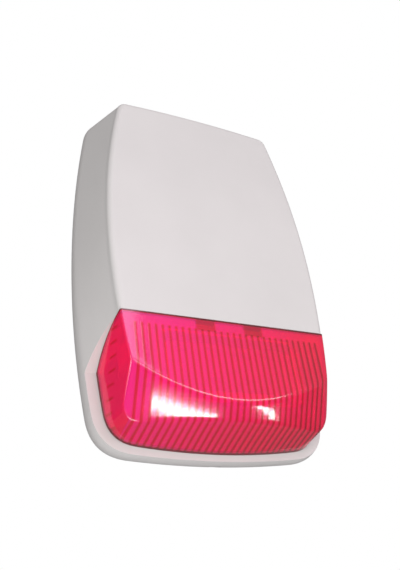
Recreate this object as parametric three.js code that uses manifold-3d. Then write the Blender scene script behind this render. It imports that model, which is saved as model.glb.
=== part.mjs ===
// Outdoor alarm siren with a strobe: a white moulded cover over a wall base,
// with a coloured lens in its lower front. Units are millimetres.
// X is to the right seen from the front, +Y goes into the wall, +Z is up,
// and the origin is the centre of the base's flat back, on the wall.
import * as THREE from 'three';
import { mergeVertices } from 'three/addons/utils/BufferGeometryUtils.js';
import Module from 'manifold-3d';

const wasm = await Module();
wasm.setup();

// ---- Driving dimensions -------------------------------------------------
const height = 300;            // rim, top to bottom
const rimHalfWidth = 102;      // widest half of the rim
const depth = 58;              // wall to flat front
const faceTopGap = 4.6;        // front face starts this far below the rim's top
const faceCrown = 2.4;         // its top edge is arched this much
const faceHalfWidth = 89.2;    // widest half of the flat front
const coverWall = 3;
const lensWall = 2.5;
const lensTop = -56.8;         // lens starts here on the flat front
const lensHeelZ = -88.4;       // lens side reaches the rim's ledge here
const ledgeDepth = 18;         // wall to the ledge that the lens stands on
const lensInset = 9.5;         // lens foot, in from the rim's outline
const fit = 0.3;               // gap between pieces that touch
const plate = 3;               // base back plate
const boardSize = [56, 74];
const batterySize = [97, 43, 52];
const hornRadius = 44;
const strobeSize = [116, 50];
const ledCount = 8;

// ---- Values worked out from them ---------------------------------------
const topZ = height / 2;
const bottomZ = -height / 2;
const widestZ = -0.1 * height;
const rimTopHalf = rimHalfWidth - 18.4;
const rimBottomHalf = rimHalfWidth - 10;
const faceTopHalf = faceHalfWidth - 18.9;
const creaseEndZ = lensTop - 37.3;      // outer ends of the lens crease
const creaseLowZ = creaseEndZ - 25.1;   // its lowest point, at the middle
const creaseEndHalf = faceHalfWidth - 8.1;
const kneeSlope = 0.5;                  // lens front goes back this much per mm down
const faceBottomZ = bottomZ + 20.7;     // lens underside, carried to the front plane
const footBottomZ = bottomZ + 5.9;      // lens foot at the bottom middle
const rimFrontY = -ledgeDepth;
const rimWidestY = rimFrontY + 4;
const rimRearY = -1.5;
const rimRearInset = 3;
const rimInnerInset = rimRearInset + coverWall;
const wallInset = rimInnerInset + 1.5;  // base wall stands inside the cover's rim
const baseWall = 2.5;
const baseWallY = -12;
const baseWallTopZ = topZ - 30;
const hingeY = -13;
const hingeZ = topZ - rimInnerInset - 3;
const hingeX = 45;
const knuckleWidth = 9.4;
const earWidth = 3;
const cornerCut = 14;                  // width cut from each top corner of the base
const pinRadius = 1.2;
const segments = 16;

// ---- Materials ----------------------------------------------------------
const finish = (color, roughness, metalness = 0) =>
  new THREE.MeshStandardMaterial({ color, roughness, metalness });
const white = finish(0xe4e0df, 0.45);
const red = finish(0xd81446, 0.15);
const grey = finish(0xb9bbbd, 0.6);
const steel = finish(0xb4b6b8, 0.35, 1);
const black = finish(0x1c1d1f, 0.5);
const green = finish(0x1d6b3a, 0.4);
const silver = finish(0xd5d7d8, 0.2, 0.8);
const ledYellow = finish(0xe9e2b0, 0.3);
const leadRed = finish(0xb01818, 0.5);
const rubber = finish(0x2b2b2b, 0.85);
const sleeveBlue = finish(0x4477aa, 0.4);

// ---- Solids -------------------------------------------------------------
function toSolid(geometry) {
  const bare = geometry.index ? geometry.clone() : geometry;
  bare.deleteAttribute('normal');
  bare.deleteAttribute('uv');
  const merged = mergeVertices(bare, 1e-4);
  return new wasm.Manifold(new wasm.Mesh({
    numProp: 3,
    vertProperties: new Float32Array(merged.attributes.position.array),
    triVerts: new Uint32Array(merged.index.array),
  }));
}

function toGeometry(solid) {
  const mesh = solid.getMesh();
  const geometry = new THREE.BufferGeometry();
  geometry.setAttribute('position', new THREE.BufferAttribute(mesh.vertProperties, 3));
  geometry.setIndex(new THREE.BufferAttribute(mesh.triVerts, 1));
  geometry.computeVertexNormals();
  return geometry;
}

const box = (x0, x1, y0, y1, z0, z1) => {
  const geometry = new THREE.BoxGeometry(x1 - x0, y1 - y0, z1 - z0);
  geometry.translate((x0 + x1) / 2, (y0 + y1) / 2, (z0 + z1) / 2);
  return toSolid(geometry);
};

// A cylinder along Y, from y0 to y1 (y0 < y1).
const rodY = (x, z, radius, y0, y1, sides = segments) => {
  const geometry = new THREE.CylinderGeometry(radius, radius, y1 - y0, sides);
  geometry.translate(x, (y0 + y1) / 2, z);
  return toSolid(geometry);
};

const rodX = (y, z, radius, x0, x1, sides = segments) => {
  const geometry = new THREE.CylinderGeometry(radius, radius, x1 - x0, sides);
  geometry.rotateZ(Math.PI / 2);
  geometry.translate((x0 + x1) / 2, y, z);
  return toSolid(geometry);
};

const rodZ = (x, y, radius, z0, z1, sides = segments) => {
  const geometry = new THREE.CylinderGeometry(radius, radius, z1 - z0, sides);
  geometry.rotateX(Math.PI / 2);
  geometry.translate(x, y, (z0 + z1) / 2);
  return toSolid(geometry);
};

// A prism along X whose side view is a list of [y, z] points.
function prismX(points, x0, x1) {
  const shape = new THREE.Shape(points.map(([y, z]) => new THREE.Vector2(y, z)));
  const geometry = new THREE.ExtrudeGeometry(shape, { depth: x1 - x0, bevelEnabled: false });
  // Shape axes (u, v, w) become (Y, Z, X).
  geometry.applyMatrix4(new THREE.Matrix4().set(0, 0, 1, x0, 1, 0, 0, 0, 0, 1, 0, 0, 0, 0, 0, 1));
  return toSolid(geometry);
}

// A prism along Y with a front view of rounded rectangle x0..x1, z0..z1.
function roundedBox(x0, x1, y0, y1, z0, z1, radius) {
  const shape = new THREE.Shape();
  shape.moveTo(x0 + radius, z0);
  shape.lineTo(x1 - radius, z0);
  shape.absarc(x1 - radius, z0 + radius, radius, -Math.PI / 2, 0);
  shape.lineTo(x1, z1 - radius);
  shape.absarc(x1 - radius, z1 - radius, radius, 0, Math.PI / 2);
  shape.lineTo(x0 + radius, z1);
  shape.absarc(x0 + radius, z1 - radius, radius, Math.PI / 2, Math.PI);
  shape.lineTo(x0, z0 + radius);
  shape.absarc(x0 + radius, z0 + radius, radius, Math.PI, 1.5 * Math.PI);
  const options = { depth: y1 - y0, bevelEnabled: false, curveSegments: 5 };
  const geometry = new THREE.ExtrudeGeometry(shape, options);
  geometry.rotateX(Math.PI / 2);
  geometry.translate(0, y1, 0);
  return toSolid(geometry);
}

// A ring's points as seen square on: along X for sections, along Y for outlines.
function flatten(ring) {
  const acrossX = ring.every((p) => Math.abs(p.x - ring[0].x) < 1e-9);
  return ring.map((p) => (acrossX ? new THREE.Vector2(p.y, p.z) : new THREE.Vector2(p.x, p.z)));
}

// Triangles that fill a ring, wound the way the ring runs.
function fill(ring) {
  const flat = flatten(ring);
  const turn = Math.sign(THREE.ShapeUtils.area(flat));
  return THREE.ShapeUtils.triangulateShape(flat, []).map((corners) => {
    const own = Math.sign(THREE.ShapeUtils.area(corners.map((i) => flat[i])));
    return own === turn ? corners : [...corners].reverse();
  });
}

// A closed solid through a list of rings, each a list of the same number of points.
function loft(rings) {
  const count = rings[0].length;
  const faces = [];
  for (let r = 0; r < rings.length - 1; r += 1) {
    for (let i = 0; i < count; i += 1) {
      const a = r * count + i;
      const b = r * count + ((i + 1) % count);
      faces.push([a, b, a + count], [b, b + count, a + count]);
    }
  }
  const last = (rings.length - 1) * count;
  faces.push(...fill(rings[0]).map((f) => [...f].reverse()));
  faces.push(...fill(rings.at(-1)).map((f) => f.map((i) => last + i)));
  const points = rings.flat();
  const volume = faces.reduce(
    (sum, [a, b, c]) => sum + points[a].dot(points[b].clone().cross(points[c])), 0,
  );
  const geometry = new THREE.BufferGeometry().setFromPoints(points);
  geometry.setIndex((volume > 0 ? faces : faces.map((f) => [...f].reverse())).flat());
  return toSolid(geometry);
}

// ---- Outlines -----------------------------------------------------------
// Half width of a bowed side: widest at `wideZ`, narrowing to both ends.
function bowed(z, wideZ, wide, top, topEndZ, low, lowEndZ) {
  if (z > wideZ) return wide - (wide - top) * ((z - wideZ) / (topEndZ - wideZ)) ** 2;
  return wide - (wide - low) * ((z - wideZ) / (lowEndZ - wideZ)) ** 2;
}

const rimSide = (z) => bowed(z, widestZ, rimHalfWidth, rimTopHalf, topZ, rimBottomHalf, bottomZ);
const faceTopZ = topZ - faceTopGap;
const faceSide = (z) => bowed(
  Math.max(z, creaseEndZ), 5, faceHalfWidth, faceTopHalf, faceTopZ, creaseEndHalf, creaseEndZ,
);

// Points of a closed outline, moved in by `inset`: crowned top, bowed sides,
// arched bottom and round corners.
function outline(shape, inset) {
  const side = (z) => shape.side(z) - inset;
  const top = shape.top - inset;
  const bottom = shape.bottom + inset;
  const topRadius = Math.max(shape.topRadius - inset, 2);
  const bottomRadius = Math.max(shape.bottomRadius - inset, 2);
  const at = (x, z) => new THREE.Vector2(x, z);
  const arch = (x) => bottom + shape.sag * (x / side(bottom)) ** 2;
  const crest = (x) => top - shape.crown * (x / side(top)) ** 2;
  const half = [];
  const bend = (a, b, c, steps) => {
    half.push(...new THREE.QuadraticBezierCurve(a, b, c).getPoints(steps).slice(0, -1));
  };
  const topX = side(top) - topRadius;
  for (let i = 0; i < 4; i += 1) half.push(at((topX * i) / 4, crest((topX * i) / 4)));
  const sideTop = top - shape.crown - topRadius;
  bend(at(topX, crest(topX)), at(side(top), crest(side(top))), at(side(sideTop), sideTop), 5);
  const cornerX = side(arch(side(bottom)));
  const cornerZ = arch(cornerX);
  const sideLow = cornerZ + bottomRadius;
  for (let i = 0; i < 14; i += 1) {
    const z = sideTop + ((sideLow - sideTop) * i) / 14;
    half.push(at(side(z), z));
  }
  const lowX = cornerX - bottomRadius;
  bend(at(side(sideLow), sideLow), at(cornerX, cornerZ), at(lowX, arch(lowX)), 6);
  for (let i = 0; i <= 6; i += 1) {
    const x = lowX * (1 - i / 6);
    half.push(at(x, arch(x)));
  }
  const mirrored = half.slice(1, -1).reverse().map((p) => at(-p.x, p.y));
  return [...half, ...mirrored];
}

const ringAt = (points, y) => points.map((p) => new THREE.Vector3(p.x, y, p.y));

const rimShape = {
  side: rimSide, top: topZ, crown: 0, bottom: bottomZ, sag: 6, topRadius: 12, bottomRadius: 26,
};
const faceShape = {
  side: faceSide, top: faceTopZ, crown: faceCrown, bottom: faceBottomZ, sag: 3,
  topRadius: 6, bottomRadius: 6,
};
const footShape = {
  side: (z) => rimSide(z) - lensInset, top: topZ - lensInset, crown: 0, bottom: footBottomZ,
  sag: 6.6, topRadius: 10, bottomRadius: 19,
};
const rim = (inset, y) => ringAt(outline(rimShape, inset), y);
const face = (inset, y) => ringAt(outline(faceShape, inset), y);
const foot = (inset, y) => ringAt(outline(footShape, inset), y);

// The outside of the cover's body, before the lens space is cut from it.
const coverOutside = () => loft([
  face(5, -depth),
  face(1.6, -depth + 1.5),
  face(0, -depth + 5),
  rim(1.2, rimFrontY),
  rim(0, rimWidestY),
  rim(0, rimWidestY + 6),
  rim(1.2, rimRearY - 3),
  rim(rimRearInset, rimRearY),
]);

const coverInside = () => loft([
  face(coverWall + 4, -depth + coverWall),
  face(coverWall, -depth + coverWall + 4),
  rim(rimInnerInset, rimFrontY + coverWall),
  rim(rimInnerInset, 1),
]);

// ---- Lens ---------------------------------------------------------------
// Side view of the space that the lens takes from the cover, grown by `grow`.
function lensZone(grow) {
  const head = lensTop + grow;
  const foot = rimFrontY + grow;
  const start = new THREE.Vector2(-depth, head);
  const heel = new THREE.Vector2(foot, lensHeelZ + grow);
  const middle = start.clone().add(heel).multiplyScalar(0.5).add(new THREE.Vector2(5, 6.2));
  const curve = new THREE.QuadraticBezierCurve(start, middle, heel).getPoints(8);
  const side = curve.map((p) => [p.x, p.y]);
  const low = bottomZ - 20;
  const points = [[-depth - 20, head], ...side, [foot, low], [-depth - 20, low]];
  return prismX(points, -rimHalfWidth - 10, rimHalfWidth + 10);
}

const creaseZ = (x) => creaseLowZ + (creaseEndZ - creaseLowZ) * (x / creaseEndHalf) ** 2;

// What is cut from the lens block in front of its receding lower face.
function fallingFace(setBack) {
  const sections = [];
  const reach = faceHalfWidth + 12;
  const steps = 24;
  for (let i = 0; i <= steps; i += 1) {
    const x = -reach + (2 * reach * i) / steps;
    const z = creaseZ(x);
    const y = -depth + setBack;
    sections.push([
      new THREE.Vector3(x, y, z),
      new THREE.Vector3(x, y + kneeSlope * 120, z - 120),
      new THREE.Vector3(x, y - 20, z - 120),
      new THREE.Vector3(x, y - 20, z),
    ]);
  }
  return loft(sections);
}

function lensBlock(inset) {
  const rings = [
    face(inset + 2, -depth + inset),
    face(inset, -depth + inset + 2),
    foot(inset, rimFrontY - fit),
  ];
  if (inset > 0) rings.push(foot(inset, rimFrontY + 2));
  return loft(rings).subtract(fallingFace(inset * 1.12));
}

// Two snap latches on the lens's top edge reach up behind the cover's front wall.
const latchX = [-20, 20];
const latchWidth = 16;

function makeLens() {
  let lens = lensBlock(0).intersect(lensZone(-fit)).subtract(lensBlock(lensWall));
  const behind = -depth + coverWall + fit;
  for (const x of latchX) {
    const half = latchWidth / 2;
    const root = box(x - half, x + half, -depth + 1.5, behind + 2.4, lensTop - 12, lensTop);
    const tongue = box(x - half + 1, x + half - 1, behind, behind + 2.4, lensTop - 8, lensTop + 8);
    lens = lens.add(root.intersect(lensZone(-fit))).add(tongue);
  }
  return lens;
}

// ---- Cover --------------------------------------------------------------
const screwY = -8;
const screwRadius = 2;
const capRadius = 4;
const tamper = { x: 64, z: 52, postRadius: 4, leverY: -21 };

function hookKnuckle(x) {
  const half = knuckleWidth / 2;
  const outer = rodX(hingeY, hingeZ, 2.7, x - half, x + half, 12);
  const neck = box(x - half, x + half, hingeY - 2.7, hingeY + 1, hingeZ, hingeZ + 4.6);
  const bore = rodX(hingeY, hingeZ, pinRadius + 0.3, x - half - 1, x + half + 1, 12);
  return outer.add(neck).subtract(bore);
}

function makeCover() {
  const outer = coverOutside();
  const shell = outer.subtract(coverInside()).subtract(lensZone(0));
  // The ledge that the lens stands on, and the narrow return beside its edge.
  const ledge = outer.intersect(lensZone(coverWall).subtract(lensZone(0)))
    .subtract(loft([face(4, -depth - 1), foot(5, rimFrontY), foot(5, 2)]));
  let cover = shell.add(ledge);
  for (const x of [-hingeX, hingeX]) cover = cover.add(hookKnuckle(x));
  const post = rodY(tamper.x, tamper.z, tamper.postRadius, -depth + 1, tamper.leverY - fit - 0.6, 12);
  cover = cover.add(post);
  const screwHole = rodZ(0, screwY, screwRadius + 0.4, bottomZ - 2, bottomZ + 12, 12);
  const headRecess = rodZ(0, screwY, capRadius + fit, bottomZ - 2, bottomZ + 3.8, segments);
  return cover.subtract(screwHole).subtract(headRecess);
}

function makeCoverScrew() {
  const head = rodZ(0, screwY, 3.7, bottomZ + 1.8, bottomZ + 3.6, segments);
  const shank = rodZ(0, screwY, screwRadius, bottomZ + 3.4, bottomZ + 14, 12);
  const drive = box(-2.6, 2.6, screwY - 0.5, screwY + 0.5, bottomZ, bottomZ + 2.6);
  return head.add(shank).subtract(drive);
}

// A flush cap that closes the recess below the screw's head.
function makeScrewCap() {
  return rodZ(0, screwY, capRadius, bottomZ + 0.1, bottomZ + 1.5, segments);
}

// ---- Base ---------------------------------------------------------------
const plateY = -plate;
const wallHoles = [[-62, 112], [62, 112], [-70, -112], [70, -112]];
const wallHoleRadius = 3.2;
const wallTamper = { x: -76, z: 44, half: 8, holeRadius: 2.2 };
const cableEntry = { x: 62, z: -88, radius: 8 };
const board = { x: 58, z: -12, y: plateY - 5, thick: 1.6 };
const battery = { x: -30, z: -22 };
const horn = { z: 74, mouthY: -46, throatY: -20, throatRadius: 9, wall: 2, earRadius: 50 };
const hornEars = [90, 210, 330].map((degrees) => {
  const turn = THREE.MathUtils.degToRad(degrees);
  return [horn.earRadius * Math.cos(turn), horn.z + horn.earRadius * Math.sin(turn)];
});
const earPlateY = horn.mouthY + 3;
const strobe = { z: -90, frontY: -44, backY: -28, postX: 40 };
const boardScrewAt = [-1, 1].flatMap((sx) => [-1, 1].map((sz) => [
  board.x + sx * (boardSize[0] / 2 - 4), board.z + sz * (boardSize[1] / 2 - 4),
]));
const bracketX = [-1, 1].map((side) => battery.x + side * (batterySize[0] / 2 + 6.5));
const batteryFrontY = plateY - fit - batterySize[1];

function hingeEar(x0) {
  const profile = [
    [hingeY - 2.6, hingeZ - 0.5], [hingeY - 1.8, hingeZ + 1.9], [hingeY, hingeZ + 2.6],
    [hingeY + 1.8, hingeZ + 1.7], [plateY + 0.5, hingeZ - 5.5], [plateY + 0.5, hingeZ - 15],
    [hingeY + 4, hingeZ - 15],
  ];
  const bore = rodX(hingeY, hingeZ, pinRadius + 0.08, x0 - 1, x0 + earWidth + 1, 12);
  return prismX(profile, x0, x0 + earWidth).subtract(bore);
}

function makeBase() {
  const back = loft([rim(wallInset, 0), rim(wallInset, plateY)]);
  const wallOutside = loft([rim(wallInset, 0), rim(wallInset, baseWallY)]);
  const wallInside = loft([rim(wallInset + baseWall, 1), rim(wallInset + baseWall, baseWallY - 1)]);
  let base = wallOutside.subtract(wallInside).add(back);
  base = base.subtract(box(-200, 200, -depth, plateY, baseWallTopZ, topZ + 5));
  base = base.subtract(box(-200, 200, -depth, 5, hingeZ - 4, topZ + 5));
  // The plate's top corners are cut back, because the cover's top swings past them.
  for (const side of [-1, 1]) {
    const corner = box(-cornerCut, cornerCut, -depth, 5, hingeZ - 8, topZ + 5);
    base = base.subtract(corner.translate([side * rimTopHalf, 0, 0]));
  }
  for (const x of [-hingeX, hingeX]) {
    base = base.add(hingeEar(x - knuckleWidth / 2 - fit - earWidth));
    base = base.add(hingeEar(x + knuckleWidth / 2 + fit));
  }
  const post = (x, z, radius, frontY) => rodY(x, z, radius, frontY, plateY + 0.5, 12);
  for (const [x, z] of boardScrewAt) base = base.add(post(x, z, 3, board.y + fit));
  for (const [x, z] of hornEars) base = base.add(post(x, z, 3.5, earPlateY + fit));
  for (const side of [-1, 1]) {
    base = base.add(post(side * strobe.postX, strobe.z, 4, strobe.backY + fit));
  }
  for (const x of bracketX) base = base.add(post(x, battery.z, 4, plateY - 9));
  // The lip is thicker round the cover's screw, and its slot is open in front.
  const lipZ = bottomZ + wallInset;
  base = base.add(box(-6, 6, baseWallY, plateY + 0.5, lipZ, lipZ + 6));
  const slotHalf = screwRadius + 0.5;
  base = base.subtract(box(-slotHalf, slotHalf, -depth, screwY + slotHalf, lipZ - 3, lipZ + 8));
  for (const [x, z] of wallHoles) base = base.subtract(rodY(x, z, wallHoleRadius, -10, 5, 12));
  const entry = rodY(cableEntry.x, cableEntry.z, cableEntry.radius, -10, 5, segments);
  const tamperHole = rodY(wallTamper.x, wallTamper.z, wallTamper.holeRadius, -10, 5, 12);
  return base.subtract(entry).subtract(tamperHole);
}

// ---- Pieces held by the base --------------------------------------------
const makePin = (x) => {
  const half = knuckleWidth / 2 + fit + earWidth + 0.5;
  return rodX(hingeY, hingeZ, pinRadius, x - half, x + half, 12);
};

function makeGrommet() {
  const { x, z, radius } = cableEntry;
  const profile = [
    [3.2, 1], [radius - 0.2, 1], [radius - 0.2, plate + 0.2], [radius + 2, plate + 0.2],
    [radius + 2, plate + 2.2], [radius - 1.5, plate + 4], [3.2, plate + 4], [3.2, 1],
  ].map(([r, h]) => new THREE.Vector2(r, h));
  const geometry = new THREE.LatheGeometry(profile, segments);
  geometry.rotateX(Math.PI);
  geometry.translate(x, 0, z);
  return toSolid(lathed(geometry));
}

// A lathe's faces may point inwards after a turn, so they are put right here.
function lathed(geometry) {
  const position = geometry.attributes.position;
  const index = geometry.index.array;
  const corner = (i) => new THREE.Vector3().fromBufferAttribute(position, index[i]);
  let volume = 0;
  for (let i = 0; i < index.length; i += 3) {
    volume += corner(i).dot(corner(i + 1).cross(corner(i + 2)));
  }
  if (volume < 0) geometry.setIndex([...index].reverse());
  return geometry;
}

function makeBoard() {
  const [w, h] = boardSize;
  const { x, z, y, thick } = board;
  let solid = box(x - w / 2, x + w / 2, y - thick, y, z - h / 2, z + h / 2);
  for (const [sx, sz] of boardScrewAt) solid = solid.subtract(rodY(sx, sz, 1.7, y - 5, y + 5, 8));
  return solid;
}

// A round-headed screw along Y: its head's underside is at headY, its tip in a post.
function screwAlongY(x, z, headY, radius, length) {
  const head = rodY(x, z, radius * 2, headY - radius * 1.1, headY - 0.1, 12);
  const shank = rodY(x, z, radius, headY - radius, headY + length, 8);
  const slot = box(x - radius * 1.4, x + radius * 1.4, headY - 9, headY - radius * 0.6, z - 0.4, z + 0.4);
  return head.add(shank).subtract(slot);
}

const boardFront = board.y - board.thick;
const onBoard = (x, z, w, h, tall) => box(
  board.x + x - w / 2, board.x + x + w / 2, boardFront - tall, boardFront - 0.1,
  board.z + z - h / 2, board.z + z + h / 2,
);

function makeTerminals() {
  let block = onBoard(0, -28, 40, 9, 10);
  for (let i = 0; i < 8; i += 1) {
    const x = board.x - 17.5 + i * 5;
    block = block.subtract(rodY(x, board.z - 28, 1.5, boardFront - 12, boardFront - 6, 8));
  }
  return block;
}

const makeCapacitor = (x, z) => rodY(board.x + x, board.z + z, 5, boardFront - 13, boardFront - 0.1);

function makeJumpers() {
  let block = onBoard(14, 28, 13, 3, 2.5);
  for (let i = 0; i < 5; i += 1) {
    const x = board.x + 9 + i * 2.5;
    block = block.add(box(x - 0.3, x + 0.3, boardFront - 6, boardFront - 2, board.z + 27.7, board.z + 28.3));
  }
  return block;
}

function makeBattery() {
  const [w, d, h] = batterySize;
  const { x, z } = battery;
  let solid = box(x - w / 2, x + w / 2, -d + plateY - fit, plateY - fit, z - h / 2, z + h / 2);
  for (const side of [-1, 1]) {
    solid = solid.add(box(
      x + side * 36 - 0.4, x + side * 36 + 0.4, batteryFrontY + 8, batteryFrontY + 14,
      z + h / 2 - 0.5, z + h / 2 + 6,
    ));
  }
  return solid;
}

// A sheet strap over the battery's front, with a foot at each end on its post.
function makeBracket() {
  const half = batterySize[0] / 2;
  const { x, z } = battery;
  const outside = batteryFrontY - fit - 1.2;
  const footY = plateY - 9 - fit;
  let strap = box(x - half - 1.6, x + half + 1.6, outside, footY, z - 8, z + 8);
  strap = strap.subtract(box(x - half - 0.4, x + half + 0.4, outside + 1.2, footY + 1, z - 9, z + 9));
  for (const side of [-1, 1]) {
    const inner = x + side * (half + 0.6);
    const outer = x + side * (half + 11.5);
    strap = strap.add(box(Math.min(inner, outer), Math.max(inner, outer), footY - 1.2, footY, z - 8, z + 8));
  }
  for (const sx of bracketX) strap = strap.subtract(rodY(sx, z, 2.2, footY - 5, footY + 5, 8));
  return strap;
}

function makeHorn() {
  const flare = [];
  const steps = 8;
  const rise = (t) => horn.throatRadius * (hornRadius / horn.throatRadius) ** (t ** 1.3);
  for (let i = 0; i <= steps; i += 1) {
    const t = i / steps;
    flare.push(new THREE.Vector2(rise(t), horn.throatY + (horn.mouthY - horn.throatY) * t));
  }
  const back = flare.map((p) => new THREE.Vector2(p.x + horn.wall, p.y + horn.wall * 0.6)).reverse();
  back[0].y = horn.mouthY;
  back.at(-1).y = horn.throatY;
  const bell = toSolid(lathed(new THREE.LatheGeometry([...flare, ...back, flare[0]], 28)));
  let solid = bell.translate([0, 0, horn.z]);
  for (const [x, z] of hornEars) {
    const arm = rodY(x, z, 4.5, earPlateY - 3, earPlateY, 12);
    const reach = new THREE.Vector2(x, z - horn.z).setLength(hornRadius + 1);
    const web = box(-3, 3, earPlateY - 3, earPlateY, -3.5, 3.5);
    solid = solid.add(arm).add(web.translate([reach.x, 0, horn.z + reach.y]));
    solid = solid.subtract(rodY(x, z, 1.8, earPlateY - 8, earPlateY + 5, 8));
  }
  return solid;
}

function makeDriver() {
  const can = rodY(0, horn.z, 26, plateY - 12, plateY - 2, 24);
  const frame = rodY(0, horn.z, 20, horn.throatY + fit, plateY - 11, 24);
  return can.add(frame);
}

function makeStrobeHousing() {
  const [w, h] = strobeSize;
  const { z, frontY, backY } = strobe;
  const half = w / 2;
  const tray = roundedBox(-half, half, frontY, backY, z - h / 2, z + h / 2, 9);
  const hollow = roundedBox(
    -half + 2, half - 2, frontY - 1, backY - 2.5, z - h / 2 + 2, z + h / 2 - 2, 7,
  );
  let solid = tray.subtract(hollow);
  for (const side of [-1, 1]) {
    solid = solid.subtract(rodY(side * strobe.postX, z, 1.8, backY - 6, backY + 3, 8));
  }
  return solid;
}

const strobeBoardFront = strobe.backY - 2.5 - fit - 1.6;

function makeStrobeBoard() {
  let solid = box(-52, 52, strobeBoardFront, strobeBoardFront + 1.6, strobe.z - 18, strobe.z + 18);
  for (const side of [-1, 1]) {
    solid = solid.subtract(rodY(side * strobe.postX, strobe.z, 1.8, -60, -10, 8));
  }
  return solid;
}

function makeLed(i) {
  const column = (i % (ledCount / 2)) - (ledCount / 2 - 1) / 2;
  const row = i < ledCount / 2 ? -1 : 1;
  const x = column * 24;
  const z = strobe.z + row * 11;
  const rear = strobeBoardFront - 0.1;
  const can = rodY(x, z, 2.5, rear - 5, rear, 8);
  const dome = new THREE.SphereGeometry(2.5, 8, 5);
  dome.translate(x, rear - 5, z);
  return can.add(toSolid(dome)).add(rodY(x, z, 2.9, rear - 1, rear, 8));
}

// A lead is a tube along a smooth route, held clear of what it passes.
function makeLead(route, radius = 1) {
  const path = new THREE.CatmullRomCurve3(route.map((p) => new THREE.Vector3(...p)));
  const section = new THREE.Shape();
  section.absarc(0, 0, radius, 0, 2 * Math.PI);
  const options = { extrudePath: path, steps: 18, curveSegments: 4, bevelEnabled: false };
  return toSolid(new THREE.ExtrudeGeometry(section, options));
}

const tamperBody = { x0: tamper.x - 4, x1: tamper.x + 4, z0: tamper.z - 14, z1: tamper.z + 6 };
const leverPivot = { y: tamper.leverY + 1.5, z: tamperBody.z0 + 3 };

function makeTamperSwitch() {
  const front = tamper.leverY + 2.6;
  let body = box(tamperBody.x0, tamperBody.x1, front, plateY - fit, tamperBody.z0, tamperBody.z1);
  const ear = (x0, x1) => box(x0, x1, leverPivot.y - 1.4, front + 1, tamperBody.z0, tamperBody.z0 + 6);
  body = body.add(ear(tamperBody.x0, tamperBody.x0 + 1.5)).add(ear(tamperBody.x1 - 1.5, tamperBody.x1));
  return body.subtract(rodX(leverPivot.y, leverPivot.z, 0.58, tamperBody.x0 - 1, tamperBody.x1 + 1, 8));
}

function makeTamperLever() {
  const half = (tamperBody.x1 - tamperBody.x0) / 2 - 1.8;
  const { y, z } = leverPivot;
  const blade = box(tamper.x - half, tamper.x + half, y - 0.8, y - 0.2, z - 1.5, tamper.z + 3);
  return blade.add(rodX(y, z, 0.5, tamperBody.x0 + 0.2, tamperBody.x1 - 0.2, 8));
}

const vialZ = hingeZ - 8.5;

function makeVial() {
  const tube = rodX(plateY - 5, vialZ, 4, -13, 13, 12);
  return tube.add(box(-14, 14, plateY - 5, plateY - fit, vialZ - 3, vialZ + 3));
}

// The wall tamper: a snap-off block screwed to the wall through the base.
function makeWallTamper() {
  const { x, z, half, holeRadius } = wallTamper;
  const solid = box(x - half, x + half, plateY - 6, plateY - fit, z - half, z + half);
  return solid.subtract(rodY(x, z, holeRadius, -20, 5, 12));
}

const socket = { x: -11, z: 31, width: 18, height: 7, tall: 6 };
const socketFront = boardFront - socket.tall - fit;
const socketAt = (i) => [board.x + socket.x - 6 + 4 * i, socketFront, board.z + socket.z];
const batteryTabZ = battery.z + batterySize[2] / 2 + 6 + fit;
const batteryTabY = batteryFrontY + 11;

function makeBatteryLead(side, i) {
  const x = battery.x + side * 36;
  const lift = 4 - 3 * side;
  const [endX, endY, endZ] = socketAt(i);
  return makeLead([
    [x, batteryTabY, batteryTabZ], [x, batteryTabY, batteryTabZ + lift],
    [x + 8, batteryTabY + 2, batteryTabZ + lift + 3],
    [endX - 16, endY - 12 - 4 * i, batteryTabZ + lift + 2],
    [endX - 1, endY - 8 - 2 * i, endZ], [endX, endY - 4, endZ], [endX, endY, endZ],
  ]);
}

function makeHornLead() {
  const [endX, endY, endZ] = socketAt(2);
  return makeLead([
    [26.6, plateY - 7, horn.z - 8], [31, plateY - 8, horn.z - 16], [34, plateY - 12, horn.z - 30],
    [endX, endY - 8, endZ + 12], [endX, endY - 8, endZ + 2], [endX, endY - 3, endZ], [endX, endY, endZ],
  ]);
}

function makeStrobeLead() {
  const endZ = board.z - 28 - 4.5 - fit;
  const x = 30;
  return makeLead([
    [x, strobe.backY + fit, strobe.z + 18], [x, strobe.backY + 6, strobe.z + 19],
    [x + 8, strobe.backY + 13, strobe.z + 28], [x + 18, boardFront - 5, endZ - 8],
    [x + 19, boardFront - 5, endZ],
  ]);
}

// ---- The object ---------------------------------------------------------
const group = new THREE.Group();
function place(name, solid, material) {
  const mesh = new THREE.Mesh(toGeometry(solid), material);
  mesh.name = name;
  group.add(mesh);
}

place('cover_shell', makeCover(), white);
place('lens', makeLens(), red);
place('cover_screw', makeCoverScrew(), steel);
place('screw_cap', makeScrewCap(), white);
place('rear_base', makeBase(), white);
place('hinge_pin_left', makePin(-hingeX), steel);
place('hinge_pin_right', makePin(hingeX), steel);
place('cable_grommet', makeGrommet(), rubber);
place('level_vial', makeVial(), green);
place('wall_tamper_block', makeWallTamper(), white);
place('main_board', makeBoard(), green);
boardScrewAt.forEach(([x, z], i) => {
  place(`board_screw_${i + 1}`, screwAlongY(x, z, boardFront, 1.4, 1.2), steel);
});
place('terminal_block', makeTerminals(), grey);
place('relay', onBoard(-15, 6, 16, 12, 15), black);
place('control_chip', onBoard(6, 4, 8, 16, 3), black);
place('capacitor_1', makeCapacitor(20, 12), sleeveBlue);
place('capacitor_2', makeCapacitor(20, -4), sleeveBlue);
place('jumper_block', makeJumpers(), black);
place('battery', makeBattery(), black);
place('battery_bracket', makeBracket(), steel);
bracketX.forEach((x, i) => {
  place(`bracket_screw_${i + 1}`, screwAlongY(x, battery.z, plateY - 9 - fit - 1.2, 1.8, 1.1), steel);
});
place('horn', makeHorn(), black);
place('horn_driver', makeDriver(), black);
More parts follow.
